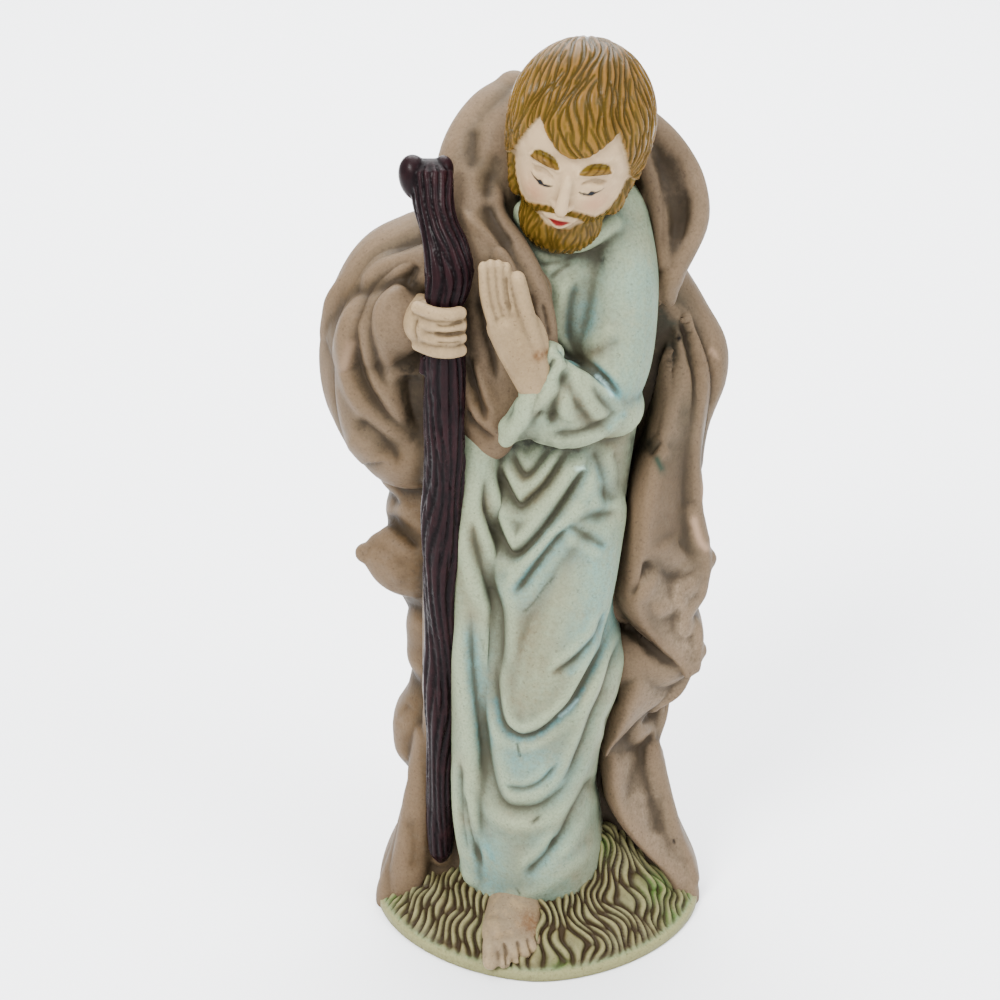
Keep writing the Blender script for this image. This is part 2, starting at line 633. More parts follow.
cloakFolds = (
    # great sleeve
    (1.6, -0.8, 0.4, 0.0, ((432, 236), (407, 244), (376, 254), (353, 285), (338, 323), (333, 354))),
    (1.2, -1.6, 0.5, 0.7, ((424, 252), (391, 268), (368, 290), (358, 316), (355, 342), (363, 379), (377, 405),
                           (397, 426), (422, 440))),
    (1.0, -1.2, 0.6, 0.4, ((421, 272), (392, 282), (373, 302), (369, 328), (374, 353), (384, 382), (396, 398))),
    (1.6, 0.8, ((352, 300), (346, 345), (352, 385), (372, 420))),
    (2.2, -2.0, ((410, 372), (411, 396), (416, 420), (424, 436))),
    (1.4, -1.4, ((418, 262), (410, 276), (404, 290))),
    (1.6, -1.2, 0.0, 0.8, ((352, 418), (376, 434), (396, 458), (392, 470))),
    # panel beside the raised hand
    (0.7, -1.2, 0.4, 0.3, ((476, 290), (482, 312), (487, 336), (494, 362), (498, 386))),
    (0.8, -1.3, 0.3, 0.6, ((467, 352), (472, 377), (479, 399), (486, 421), (487, 428))),
    (0.8, -1.1, 0.5, 0.0, ((464, 405), (474, 424), (486, 435), (500, 442))),
    (0.9, 0.7, ((474, 356), (483, 384), (491, 410))),
    (0.7, -1.3, 0.3, 0.3, ((524, 288), (531, 312), (535, 334), (537, 350))),
    (0.7, -0.9, 0.0, 0.4, ((541, 300), (546, 320), (549, 342))),
    # hood, left
    (1.4, -0.45, 0.2, 0.2, ((470, 126), (474, 140), (473, 156), (468, 174))),
    (1.6, -0.6, 0.3, 0.0, ((498, 150), (492, 172), (488, 190), (484, 204))),
    (1.8, -1.0, 0.0, 0.4, ((484, 200), (492, 216), (504, 236), (516, 252))),
    (1.0, 0.8, ((458, 204), (472, 222), (492, 240), (508, 262), (520, 282))),
    # hood, right
    (1.8, -0.7, 0.2, 0.4, ((656, 140), (664, 186), (664, 214), (662, 244), (666, 268))),
    (2.2, -0.7, ((668, 144), (678, 166), (684, 192), (684, 216), (680, 240), (672, 262))),
    (1.8, -0.5, ((684, 188), (685, 206), (683, 226), (678, 246))),
    # right side
    (1.5, 0.8, ((684, 268), (670, 286), (668, 304), (680, 316), (696, 324))),
    (2.6, 0.7, ((676, 356), (670, 390), (662, 420), (654, 450))),
    (0.9, -0.8, 0.3, 0.0, ((664, 440), (652, 450), (648, 458))),
    (0.9, -1.0, 0.5, 0.0, ((653, 560), (646, 574), (638, 586), (628, 600))),
    (1.9, -0.9, 0.6, 0.0, ((640, 556), (654, 568), (672, 577), (690, 575), (706, 564))),
    (1.6, 0.9, ((650, 612), (668, 606), (690, 600))),
    (1.0, -0.8, ((612, 607), (624, 623), (637, 634), (651, 649), (664, 661), (688, 671))),
    (1.6, 0.6, ((690, 500), (698, 530), (708, 552))),
    (1.2, -0.4, 0.2, 0.2, ((650, 742), (642, 756), (634, 776), (626, 806))),
    (1.4, -0.5, ((604, 754), (620, 752), (640, 745), (658, 730))),
    (1.8, -0.4, 0.2, 0.2, ((664, 790), (660, 812), (656, 838))),
    # left edge outside the staff
    (1.2, -1.2, 0.5, 0.4, ((384, 512), (398, 526), (412, 540), (422, 552))),
    (1.4, 0.7, ((366, 556), (386, 562), (404, 584))),
    (1.4, -0.4, ((410, 702), (402, 712), (392, 722))),
    (1.6, -0.5, ((404, 814), (412, 836), (414, 856), (408, 876))),
)

cloakSideFolds = {
    "left": (
        (2.0, -1.5, 0.5, 0.0, ((-15, 136), (-11, 121), (-10, 107), (-4, 95))),
        (2.2, 1.3, ((-9, 138), (-5, 122), (-4, 108), (2, 96))),
        (1.8, -1.5, 0.0, 0.5, ((-2, 138), (2, 122), (3, 108), (6, 97))),
        (1.8, -1.8, 0.0, 0.6, ((-8, 90), (0, 89), (10, 86))),
        (2.2, -1.6, 0.0, 0.4, ((-12, 66.6), (-3, 66), (10, 57))),
        (1.9, -1.2, 0.0, 0.5, ((-12, 49), (-2, 50), (10, 52))),
        (2.0, -1.2, 0.0, 0.4, ((-10, 31), (-2, 28), (9, 19))),
    ),
    "right": (
        (4.8, 2.4, ((-14, 134), (-5, 123), (-2, 113), (2, 98), (8, 86))),
        (2.4, -1.6, 0.4, 0.4, ((6, 128), (9, 112), (11, 96))),
        (2.0, -1.2, 0.0, 0.4, ((-6, 87), (0, 89), (10, 94))),
        (2.0, -1.5, 0.0, 0.4, ((-10, 66), (-2, 66), (10, 72))),
        (2.2, -1.8, 0.0, 0.4, ((-10, 42), (-2, 43), (10, 50))),
    ),
}

pleats = {"count": 7, "top": -13.0, "topSpacing": 6.4, "foot": -23.0, "footSpacing": 9.2, "drop": 126.0}


def backFolds():
    lines = []
    for i in range(pleats["count"]):
        top, foot = pleats["top"] + pleats["topSpacing"] * i, pleats["foot"] + pleats["footSpacing"] * i
        sway = 2.4 * math.sin(1.9 * i + 0.6)
        drop = pleats["drop"] - 3 * math.cos(1.3 * i)
        path = ((top, drop), (top + 0.3 * sway, 102), ((top + foot) / 2 + sway, 66), (foot - 0.6 * sway, 30),
                (foot, -2))
        lines.append((1.7, -2.1 if i % 2 == 0 else -1.5, 0.4, 0.5, path))
        lines.append((2.2, 1.1, tuple((x + 4.2, z) for x, z in path[:4])))
    for i, height in enumerate((-1.2, 1.1, -1.4, 1.2, -1.6)):
        low, half = 144 - 5.2 * i, 15.5 + 1.1 * i
        path = ((8.6 - half, low + 9), (8.6 - 0.55 * half, low + 1.5), (9, low - 2), (8.6 + 0.55 * half, low + 1.5),
                (8.6 + half, low + 9))
        lines.append((1.7, height, 0.0, 0.3, path))
    return lines


def makeCloak():
    piece = melt("cloak", cloakMasses() + sleeveMasses() + panelMasses() + hoodMasses() + staffBacking(),
                 cloakSize["step"], cloakSize["soften"])
    pressFolds(piece, cloakSideFolds["left"], fromSide(0, -1), tail=1.5)
    pressFolds(piece, cloakSideFolds["right"], fromSide(0, 1), tail=1.5)
    pressFolds(piece, backFolds(), fromSide(1, 1))
    pressFolds(piece, cloakFolds, fromFront, gridPerPixel)
    cutFlat(piece)
    thinOut(piece, cloakSize["triangles"])
    noteHollows(piece)
    note(piece, "tan", stroked(piece,
        (11, 1.0, ((396, 540), (406, 640), (406, 760), (398, 870))),
        (6, 0.8, ((398, 470), (408, 520))),
        (5, 0.7, ((478, 400), (482, 440))),
        (4, 0.6, ((700, 360), (714, 372))),
        (6, 0.5, ((346, 290), (340, 340), (348, 396))),
        (5, 0.5, ((662, 480), (660, 520)))))
    note(piece, "pale", stroked(piece,
        (6, 0.8, ((676, 596), (684, 640))),
        (5, 0.7, ((632, 776), (642, 812), (652, 846))),
        (5, 0.6, ((664, 690), (640, 712))),
        (4, 0.5, ((462, 110), (452, 140))),
        (3, 0.6, ((700, 176), (706, 206), (698, 236))),
        (3, 0.6, ((672, 860), (688, 888)))))
    note(piece, "grey", stroked(piece,
        (5, 1.0, ((664, 320), (664, 360), (660, 400), (650, 430)))))
    note(piece, "dark", stroked(piece,
        (3.4, 0.75, ((656, 334), (652, 374), (644, 410), (636, 440))),
        (2.4, 0.55, ((685, 192), (686, 206), (685, 220))),
        (3.0, 0.4, ((668, 150), (678, 180), (684, 210), (680, 240))),
        (3.2, 0.5, ((648, 140), (658, 180), (662, 210), (664, 250))),
        (2.2, 0.5, ((490, 212), (502, 234), (512, 250))),
        (3.2, 0.4, ((504, 110), (506, 140), (506, 180), (500, 200))),
        (3.0, 0.9, ((412, 366), (412, 400), (420, 430))),
        (2.6, 0.8, ((414, 262), (412, 284))),
        (1.6, 0.35, ((471, 134), (470, 164))),
        (2.6, 1.0, ((638, 632), (650, 644))),
        (2.4, 0.5, ((470, 290), (474, 330), (472, 360)))))
    note(piece, "pinholes", dotted(piece,
        (0.42, (657, 302)), (0.55, (679, 338)), (0.6, (610, 600)), (0.5, (636, 429)), (0.35, (674, 841))))
    note(piece, "green", stroked(piece, (0.7, 1.0, ((657, 459), (662, 470)))))
    note(piece, "scuffs", stroked(piece,
        (0.7, 0.7, ((694, 520), (700, 540), (706, 548))), (0.5, 0.5, ((712, 350), (716, 356))),
        (0.5, 0.6, ((705, 470), (704, 500))), (1.0, 0.35, ((350, 345), (344, 366)))))
    note(piece, "chips", stroked(piece, (0.8, 1.0, ((682, 702), (688, 694)))))
    finishPiece(piece, paintedBisque("cloakPaint", cloakLook))
    return piece


def cutFlat(piece):
    # level with the floor
    bpy.ops.object.select_all(action="DESELECT")
    bpy.context.view_layer.objects.active = piece
    piece.select_set(True)
    bpy.ops.object.mode_set(mode="EDIT")
    bpy.ops.mesh.select_all(action="SELECT")
    bpy.ops.mesh.bisect(plane_co=(0, 0, 0), plane_no=(0, 0, 1), use_fill=True, clear_inner=True)
    bpy.ops.object.mode_set(mode="OBJECT")
    piece.select_set(False)


# robe and the sleeve of the folded arm

robeLook = {
    "base": paint(174, 179, 160),
    "blotches": (
        (paint(168, 184, 172), 12.0, 0.42, 0.62, 0.6),
        (paint(182, 176, 152), 7.0, 0.48, 0.68, 0.55),
        (paint(136, 132, 106), 1.8, 0.48, 0.72, 0.45),
    ),
    "layers": (
        (paint(166, 156, 126), "dust", 0.8),
        (paint(160, 188, 184), "wash", 0.8),
        (paint(82, 84, 74), "dark", 0.9),
        (paint(132, 184, 186), "blue", 0.9),
    ),
    "grain": 1.5, "cover": 0.4,
    "crest": paint(198, 203, 186), "crestAmount": 0.65,
    "recess": paint(112, 110, 88), "recessAmount": 0.8,
    "line": paint(88, 82, 60), "lineAmount": 0.6,
    "speck": paint(120, 110, 90), "speckAmount": 0.35,
    "dirt": 0.55, "marks": (
        (paint(60, 50, 40), "scratches"), (paint(206, 216, 210), "bubbles"), (paint(214, 226, 226), "gleam"),
    ),
    "rough": (0.42, 0.58), "shine": 0.07, "bump": 0.3,
}

robeSize = {"step": 0.44, "soften": 5, "triangles": 190000}


def robeMasses():
    heights = np.arange(5.8, 153.0, 2.0)
    left = ((-4, -13), (8, -13), (18, -12.4), (30, -11), (63, -9.8), (120, -10), (143, -7), (151, -2))
    right = ((-4, 18), (8, 18.6), (18, 17.2), (28, 15.4), (40, 16.2), (50, 19.2), (60, 20.6), (68, 18.2), (80, 18.2),
             (97, 20.6), (120, 23.6), (135, 24.2), (143, 23), (149, 19), (153, 15))
    front = ((-4, -18), (7, -20.6), (18, -23.6), (40, -25.6), (62, -26.5), (80, -25), (97, -22), (105, -20.6),
             (112, -18.4), (128, -17.4), (140, -15.6), (147, -13), (153, -10))
    return [
        upright("robeBody", heights, left, right, (front,), ((0, 8), (151, 8)), ((0, -2), (60, -6), (151, -3)), 2.2),
        limb("thigh", [
            (12, -14, 92, 8, 6), (8.6, -18, 78, 9, 8.4), (5, -19.6, 62, 8.8, 8.4), (2, -18, 42, 7.5, 7),
            (0, -15, 20, 7, 6)]),
        limb("neck", [(9, -3, 142, 8, 7), (9.6, -9, 154, 6.6, 6.6)]),
        limb("drapeLeft", [
            (-7.8, -16.6, 116, 4, 4), (-8.4, -17.6, 100, 4.6, 4.6), (-8.6, -17.6, 80, 4.8, 4.6),
            (-8.8, -16.8, 60, 4.6, 4.6),
            (-9.0, -15.6, 40, 4.4, 4.6), (-8.8, -14.6, 26, 4.4, 4.6), (-7.4, -13.6, 13, 4.2, 4.4)]),
        limb("neckline", [(0, -10, 148.6, 2, 2), (4, -14.4, 145.2, 1.6, 1.8), (10, -15.4, 144.6, 1.6, 1.8),
                          (16, -12, 147, 1.8, 2)]),
    ]


def armMasses():
    return [
        limb("upperArm", [
            (16.4, -4.6, 146, 7.0, 7.4), (17.6, -9.4, 136, 7.2, 8.4), (16.8, -13.6, 124, 7.2, 8.4),
            (15.2, -15.4, 116.6, 6.4, 7.6)]),
        limb("lowerArm", [
            (15.4, -15.4, 114.6, 6.4, 7.6), (10.0, -20.6, 117.6, 6.4, 6.2), (4.4, -24.0, 121.6, 5.2, 4.6)]),
        limb("cuffBell", [
            (14.2, -17.4, 112.6, 3.6, 5), (8.6, -21.6, 113, 4.6, 5.2), (2, -23.6, 114.6, 4.2, 4.2),
            (-1.6, -24.6, 113.2, 2.6, 2.8)]),
        limb("cuffEdge", [
            (5.4, -25.6, 127.8, 2.2, 2.2), (3.2, -27.0, 122, 1.9, 2.2), (0.2, -26.8, 116.4, 1.8, 2.2),
            (-2.6, -25.4, 111.6, 1.6, 2.0)]),
    ]


robeFolds = (
    # folds that hang in curves from the waist
    (0.9, -1.1, 0.5, 0.2, ((511, 448), (516, 464), (524, 475), (533, 472), (544, 458), (554, 444))),
    (0.9, -1.5, 0.8, 0.3, ((499, 462), (504, 482), (513, 500), (521, 506), (532, 498), (547, 483), (561, 461),
                           (571, 443))),
    (1.0, -1.8, 0.9, 0.3, ((486, 470), (486, 504), (494, 526), (504, 547), (512, 555), (526, 549), (544, 530),
                           (560, 508), (574, 487), (585, 468), (590, 444))),
    (1.1, -1.1, 0.4, 0.6, ((474, 512), (474, 538), (481, 565), (490, 588), (499, 612), (500, 650), (498, 690))),
    (0.9, -1.3, 0.7, 0.0, ((511, 598), (526, 579), (544, 555), (562, 534), (576, 524))),
    (1.2, -0.8, 0.5, 0.4, ((592, 446), (602, 472), (606, 492), (604, 512))),
    (1.1, -0.5, 0.0, 0.4, ((612, 446), (618, 470), (617, 494))),
    (0.9, -0.45, 0.35, 0.2, ((574, 524), (594, 516), (620, 512))),
    (0.9, -0.5, 0.2, 0.35, ((566, 524), (586, 535), (610, 550))),
    # the bent knee
    (0.8, -1.0, 0.0, 0.3, ((607, 606), (600, 632), (586, 650), (569, 665), (546, 678))),
    (0.8, -1.3, 0.5, 0.2, ((496, 650), (496, 693), (501, 721), (510, 733), (523, 738), (540, 733), (556, 721),
                           (571, 706), (581, 690), (594, 666), (606, 640), (616, 618))),
    (0.9, -1.2, 0.5, 0.4, ((623, 630), (616, 655), (606, 690), (594, 716), (583, 746), (571, 771), (556, 790))),
    (0.9, -1.4, 0.6, 0.0, ((636, 660), (624, 693), (612, 716), (602, 738))),
    # the big fold that hangs below the knee
    (1.2, -1.1, 0.4, 0.5, ((470, 600), (472, 660), (477, 703), (482, 733), (488, 766), (496, 794), (507, 807),
                           (523, 810), (540, 807), (556, 796), (570, 780), (582, 752))),
    (0.6, -0.7, 0.2, 0.0, ((501, 782), (513, 788), (526, 789), (543, 781), (560, 761))),
    (1.0, -1.1, 0.4, 0.2, ((598, 770), (586, 791), (573, 814), (561, 837), (545, 856))),
    (0.5, -0.5, ((530, 824), (541, 816))),
    # towards the hem
    (0.8, -1.0, 0.3, 0.3, ((460, 757), (460, 808), (465, 841), (473, 862))),
    (0.7, -0.9, 0.3, 0.2, ((462, 790), (470, 829), (478, 857), (484, 872))),
    (0.9, -0.9, 0.2, 0.3, ((560, 836), (546, 856), (522, 878))),
    (1.6, 0.6, ((452, 850), (466, 876), (492, 896), (510, 898), (544, 886), (580, 858), (604, 838))),
    # chest and upper arm
    (1.0, -0.7, 0.0, 0.5, ((580, 276), (572, 300), (569, 328), (572, 347), (584, 361), (602, 370))),
    (0.8, -1.3, 0.3, 0.6, ((552, 332), (562, 352), (576, 363), (591, 370), (604, 380), (622, 398))),
    (1.2, -0.35, 0.0, 0.2, ((624, 338), (600, 350), (578, 358))),
    (0.6, -0.5, 0.2, 0.0, ((526, 256), (542, 264), (560, 262), (578, 254))),
    (0.6, -0.5, 0.2, 0.0, ((548, 280), (560, 270), (574, 262))),
    # cuff
    (0.6, -1.2, 0.3, 0.2, ((556, 356), (551, 366), (546, 376))),
    (1.0, -0.8, 0.5, 0.3, ((570, 366), (560, 391), (554, 408), (552, 432))),
    (0.9, -0.6, 0.3, 0.2, ((550, 368), (539, 394), (530, 424))),
    (1.0, -0.7, 0.3, 0.5, ((568, 378), (576, 403), (594, 426))),
    (0.9, -0.6, 0.2, 0.4, ((592, 380), (602, 400), (618, 416))),
    (1.0, 0.7, ((536, 366), (526, 390), (514, 416))),
    (0.8, -0.8, 0.0, 0.4, ((548, 434), (562, 434), (579, 432), (600, 424), (622, 408))),
)


def makeRobe():
    piece = melt("robe", robeMasses() + armMasses(), robeSize["step"], robeSize["soften"])
    pressFolds(piece, robeFolds, fromFront, gridPerPixel)
    thinOut(piece, robeSize["triangles"])
    noteHollows(piece)
    note(piece, "dust", stroked(piece,
        (7, 1.0, ((540, 620), (545, 660))),
        (5, 0.9, ((526, 700), (540, 690))),
        (5, 0.8, ((560, 600), (580, 560))),
        (4, 0.9, ((520, 860), (500, 880))),
        (5, 0.7, ((470, 520), (466, 600), (466, 700))),
        (3, 0.8, ((524, 480), (532, 500))),
        (3, 0.8, ((610, 450), (618, 480))),
        (4, 0.7, ((530, 750), (545, 740))),
        (6, 0.9, ((590, 330), (600, 345))),
        (5, 0.8, ((570, 400), (590, 410))),
        (5, 0.7, ((540, 500), (530, 540)))))
    note(piece, "wash", stroked(piece,
        (5, 1.0, ((600, 560), (600, 600), (590, 640))),
        (5, 0.9, ((520, 760), (545, 770))),
        (5, 0.9, ((484, 860), (490, 880))),
        (4, 0.8, ((560, 530), (540, 560), (520, 590))),
        (3, 0.9, ((588, 310), (584, 330))),
        (6, 0.7, ((640, 280), (646, 330), (636, 380))),
        (3, 0.9, ((470, 640), (476, 700), (486, 740))),
        (4, 0.7, ((552, 850), (540, 870))),
        (4, 0.6, ((596, 480), (590, 500)))))
    note(piece, "blue", stroked(piece,
        (0.65, 0.9, ((497, 700), (501, 722), (510, 733), (523, 738), (540, 733), (556, 721), (571, 706), (582, 689))),
        (0.6, 0.6, ((582, 689), (594, 666), (604, 645))),
        (1.5, 1.0, ((596, 372), (606, 381), (616, 394))),
        (0.8, 0.8, ((560, 352), (574, 363), (592, 369))),
        (0.8, 0.6, ((600, 652), (586, 664), (570, 672))),
        (0.7, 0.7, ((610, 428), (624, 414))),
        (0.6, 0.6, ((575, 290), (570, 310), (569, 335))),
        (0.7, 0.7, ((486, 846), (492, 858))),
        (0.6, 0.5, ((530, 568), (516, 590)))))
    note(piece, "dark", stroked(piece,
        (2.2, 1.0, ((518, 446), (546, 441), (572, 446))),
        (2.4, 0.9, ((590, 250), (602, 258))),
        (1.4, 0.9, ((634, 440), (634, 470), (628, 500)))))
    note(piece, "scratches", stroked(piece,
        (0.26, 0.9, ((517, 744), (520, 756))), (0.2, 0.6, ((524, 612), (534, 602), (544, 588), (554, 577))),
        (0.22, 0.7, ((516, 888), (520, 894))), (0.2, 0.5, ((482, 640), (484, 652))),
        (0.24, 0.6, ((533, 822), (540, 816)))))
    note(piece, "bubbles", stroked(piece, (0.34, 1.0, ((577, 469), (583, 468)))))
    note(piece, "gleam", stroked(piece,
        (0.35, 0.4, ((597, 376), (606, 386), (612, 395))), (0.3, 0.3, ((560, 716), (569, 709), (577, 700)))))
    finishPiece(piece, paintedBisque("robePaint", robeLook))
    return piece


# the hands

handSize = {"step": 0.24, "soften": 5}

skinLook = {
    "base": paint(188, 174, 146),
    "blotches": (
        (paint(172, 152, 116), 5.0, 0.45, 0.65, 0.5),
        (paint(202, 190, 164), 2.5, 0.5, 0.7, 0.5),
    ),
    "layers": (
        (paint(150, 100, 50), "rust", 0.8),
    ),
    "grain": 1.0, "cover": 0.6,
    "crest": paint(208, 198, 174), "crestAmount": 0.6,
    "recess": paint(140, 118, 84), "recessAmount": 0.55,
    "line": paint(122, 98, 66), "lineAmount": 0.6,
    "speck": paint(130, 104, 74), "speckAmount": 0.4,
    "dirt": 0.4, "marks": (),
    "rough": (0.42, 0.56), "shine": 0.08, "bump": 0.25,
}


def raisedHandMasses():
    made = [
        limb("palm", [(2.0, -26.4, 122.6, 3.2, 2.8), (0.0, -27.4, 129, 4.2, 2.8), (-2.2, -27.6, 134, 4.2, 2.6)]),
        egg("palmSide", (0.2, -27.2, 130.6), (4.4, 2.5, 6.6), (0, -12, 0)),
        limb("thumb", [
            (3.0, -26.8, 124, 2.2, 2.2), (2.2, -27.8, 130, 1.9, 2.0), (0.7, -28.2, 136, 1.6, 1.8),
            (-0.8, -27.8, 142.4, 1.4, 1.6)]),
    ]
    for i in range(4):
        x = -6.7 + 1.3 * i
        top = 144.6 - 0.4 * abs(i - 1.4)
        made.append(limb("finger", [
            (-4.5 + 1.5 * i, -27.6, 133, 1.25, 2.0), (x + 0.5, -27.6, 139, 1.1, 1.9), (x, -26.8, top, 0.95, 1.5),
        ], around=14))
    return made


def fistMasses():
    x, y, z = figure["fist"]
    reach = 0.86 * staff["radius"] + 1.2
    made = [
        egg("fistBack", (x - 0.6, y + 0.6, z + 0.2), (5.6, 4.8, 4.5)),
        limb("wrist", [(x - 2.2, y + 1.4, z, 4.0, 4.0), (x - 3.4, y + 6, z - 0.4, 4.2, 4.0)])]
    for i in range(4):
        level = z + 3.7 - 2.3 * i
        made.append(limb("grip", [
            (x + 0.9 + reach * a, y + 0.6 - reach * b, level - 0.35 * a, 1.2, 1.3)
            for a, b in ((-1.0, 0.5), (-0.4, 1.0), (0.2, 1.05), (0.66, 0.74))
        ], around=14))
    return made


handFolds = (
    (0.45, -0.5, ((506, 272), (507, 292), (511, 314))),
)
fistFolds = (
    (0.32, -0.5, ((434, 324), (446, 326), (466, 321))),
    (0.32, -0.5, ((432, 333), (446, 335), (467, 332))),
    (0.32, -0.5, ((434, 342), (446, 344), (466, 342))),
    (0.4, -0.5, ((418, 316), (414, 330), (418, 344))),
)


def makeHands():
    for name, masses, folds in (
            ("raisedHand", raisedHandMasses, handFolds), ("staffHand", fistMasses, fistFolds)):
        piece = melt(name, masses(), handSize["step"], handSize["soften"])
        pressFolds(piece, folds, fromFront, gridPerPixel)
        noteHollows(piece, fine=4, broad=40, fineDepth=0.05, broadDepth=0.35)
        note(piece, "rust", stroked(piece, (1.0, 1.0, ((538, 356), (546, 354)))))
        finishPiece(piece, paintedBisque(name + "Paint", skinLook))


# the bare foot

footSize = {"step": 0.26, "soften": 4}

footLook = dict(skinLook, base=paint(178, 166, 142), crest=paint(200, 190, 168), recess=paint(128, 106, 76))


def footMasses():
    x, y, z = figure["toes"]
    up = (0, 0, 1)
    made = [limb("instep", [
        (-0.4, -13, 9.4, 5.4, 4.6), (-0.8, -19.6, 8.0, 5.6, 4.4), (x + 0.7, -25.6, 6.2, 5.9, 3.6),
        (x + 0.9, y + 4.4, z + 0.8, 5.6, 2.6)], up)]
    toes = ((-3.5, 0.2, 1.6), (-0.8, 0.0, 1.25), (1.5, 1.2, 1.05), (3.4, 2.6, 0.95), (5.1, 4.8, 0.9))
    for across, back, radius in toes:
        made.append(limb("toe", [
            (x + across * 0.92, y + back + 6, z + 1.6, radius, radius * 1.1),
            (x + across, y + back + 2.6, z + 0.4, radius, radius * 1.1),
            (x + across, y + back, z - 0.8, radius, radius)], up, 14))
    return made


toeFolds = (
    (0.34, -0.9, ((503, 940), (506, 956), (508, 976))),
    (0.30, -0.8, ((517, 938), (519, 950), (522, 966))),
    (0.28, -0.7, ((527, 936), (530, 948), (533, 958))),
    (0.26, -0.6, ((535, 933), (538, 942), (541, 950))),
    (1.6, 0.5, ((494, 915), (492, 935), (492, 955))),
)


def makeFoot():
    piece = melt("foot", footMasses(), footSize["step"], footSize["soften"])
    pressFolds(piece, toeFolds, fromFront, gridPerPixel)
    cutFlat(piece)
    noteHollows(piece, fine=4, broad=40, fineDepth=0.05, broadDepth=0.4)
    note(piece, "rust", stroked(piece, (2.2, 0.8, ((530, 922), (544, 932)))))
    finishPiece(piece, paintedBisque("footPaint", footLook))


# the knotted staff

staffLook = {
    "base": paint(32, 15, 19),
    "blotches": (
        (paint(26, 16, 20), 8.0, 0.42, 0.62, 0.7),
        (paint(76, 38, 42), 5.0, 0.5, 0.7, 0.5),
    ),
    "layers": (),
    "grain": 1.0, "cover": 0.6,
    "crest": paint(80, 42, 48), "crestAmount": 0.7,
    "recess": paint(18, 10, 12), "recessAmount": 0.9,
    "line": paint(12, 6, 8), "lineAmount": 0.95,
    "speck": paint(72, 48, 52), "speckAmount": 0.15,
    "dirt": 0.3, "marks": (),
    "rough": (0.26, 0.36), "shine": 0.05, "bump": 0.2,
}


def staffRings(stations, top, tip):
    thick = staff["radius"]
    line = curveThrough([(*s[:3], s[3] * thick, s[4] * thick) for s in stations], 46)
    line = line[::-1]  # lowest first
    centres = line[:, :3]
    along = np.gradient(centres, axis=0)
    along /= np.linalg.norm(along, axis=1)[:, None]
    side = np.cross((0.0, -1.0, 0.0), along)
    side /= np.linalg.norm(side, axis=1)[:, None]
    out = np.cross(along, side)
    count = staff["around"]
    angle = np.linspace(0, 2 * math.pi, count, endpoint=False)
    length = np.concatenate([[0], np.cumsum(np.linalg.norm(np.diff(centres, axis=0), axis=1))])
    rings = []
    for i in range(len(line)):
        s = length[i]
        coarse = staff["fibres"][0] * angle + 1.6 * math.sin(s / 9.0) + 1.1 * np.sin(2 * angle + s / 6.0)
        fine = staff["fibres"][1] * angle - 1.9 * math.sin(s / 7.0 + 2.0) + 1.2 * np.sin(3 * angle - s / 5.0)
        broken = 0.55 + 0.45 * np.sin(s / 5.0 + 4 * angle + 1.5 * math.sin(s / 13.0))
        bark = -np.maximum((1 - np.abs(np.sin(coarse))) ** 1.7, broken * (1 - np.abs(np.sin(fine))) ** 2.0)
        lump = 0.18 * np.sin(2 * angle + s / 6.0) + 0.14 * math.sin(s / 5.2) + 0.1 * np.sin(angle + s / 3.1)
        ends = min(1.0, (s / tip) ** 0.5 if tip else 1.0, ((length[-1] - s) / top) ** 0.5 if top else 1.0)
        swell = (1 + (bark * staff["barkDepth"] + lump) / thick) * max(ends, 0.02)
        spread = np.cos(angle)[:, None] * side[i] * line[i, 3] + np.sin(angle)[:, None] * out[i] * line[i, 4]
        rings.append(centres[i] + spread * np.broadcast_to(swell, angle.shape)[:, None])
    return rings


def makeStaff():
    x, y, z = figure["fist"]
    upper = [
        (-16.0, -15.4, 160.2, 1.0, 0.85), (-15.8, -16.4, 157.0, 1.16, 0.95), (-15.5, -18.4, 153.2, 1.0, 0.9),
        (-14.6, -20.2, 149.8, 0.92, 0.9), (-13.2, -22.6, 146, 1.04, 1.02), (-12.5, -24.0, 142.0, 1.12, 1.04),
        (x + 1.3, y + 0.6, z + 5.4, 1.02, 0.96), (x + 1.1, y + 0.6, z + 4.2, 0.9, 0.9)]
    staffParts = [
        ballOfRings("staffShaft", staffRings(lowerStaff(), 0.0, 3.0)),
        ballOfRings("staffTop", staffRings(upper, 2.4, 0.0)),
        egg("staffHorn", (-13.9, -15.4, 157.8), (2.0, 2.2, 2.9), (0, 8, 0)),
        egg("staffKnob", (-18.6, -15.8, 156.8), (2.9, 3.0, 4.2), (0, -14, 0)),
        limb("staffSaddle", [(-18.4, -15.8, 157.8, 2.5, 2.6), (-16.2, -15.6, 157.8, 2.4, 2.5),
                             (-14.2, -15.4, 158, 2.2, 2.4)]),
        limb("staffNub", [(-17.2, -24.6, 126.4, 0.7, 0.8), (-17.5, -24.6, 124.2, 0.7, 0.8)], around=14),
    ]
    piece = melt("staff", staffParts, staff["step"], staff["soften"])
    noteHollows(piece, fine=3, broad=12, fineDepth=0.05, broadDepth=0.16)
    finishPiece(piece, paintedBisque("staffPaint", staffLook))


# head, hair and beard

headSize = {
    "step": 0.25, "soften": 5,
    "crown": (-0.12, 0.62, 0.78),  # which way the hair's whorl faces
    "grooves": 1.3,  # from one comb line to the next
    "hairRound": 14.0, "beardRound": 12.0,  # how far out from the head's middle they lie
    "hairRise": 0.85, "beardRise": 0.35, "grooveHalf": 0.28, "grooveDepth": 0.5, "strandHalf": 0.27,
    "strandDepth": 0.2,
}

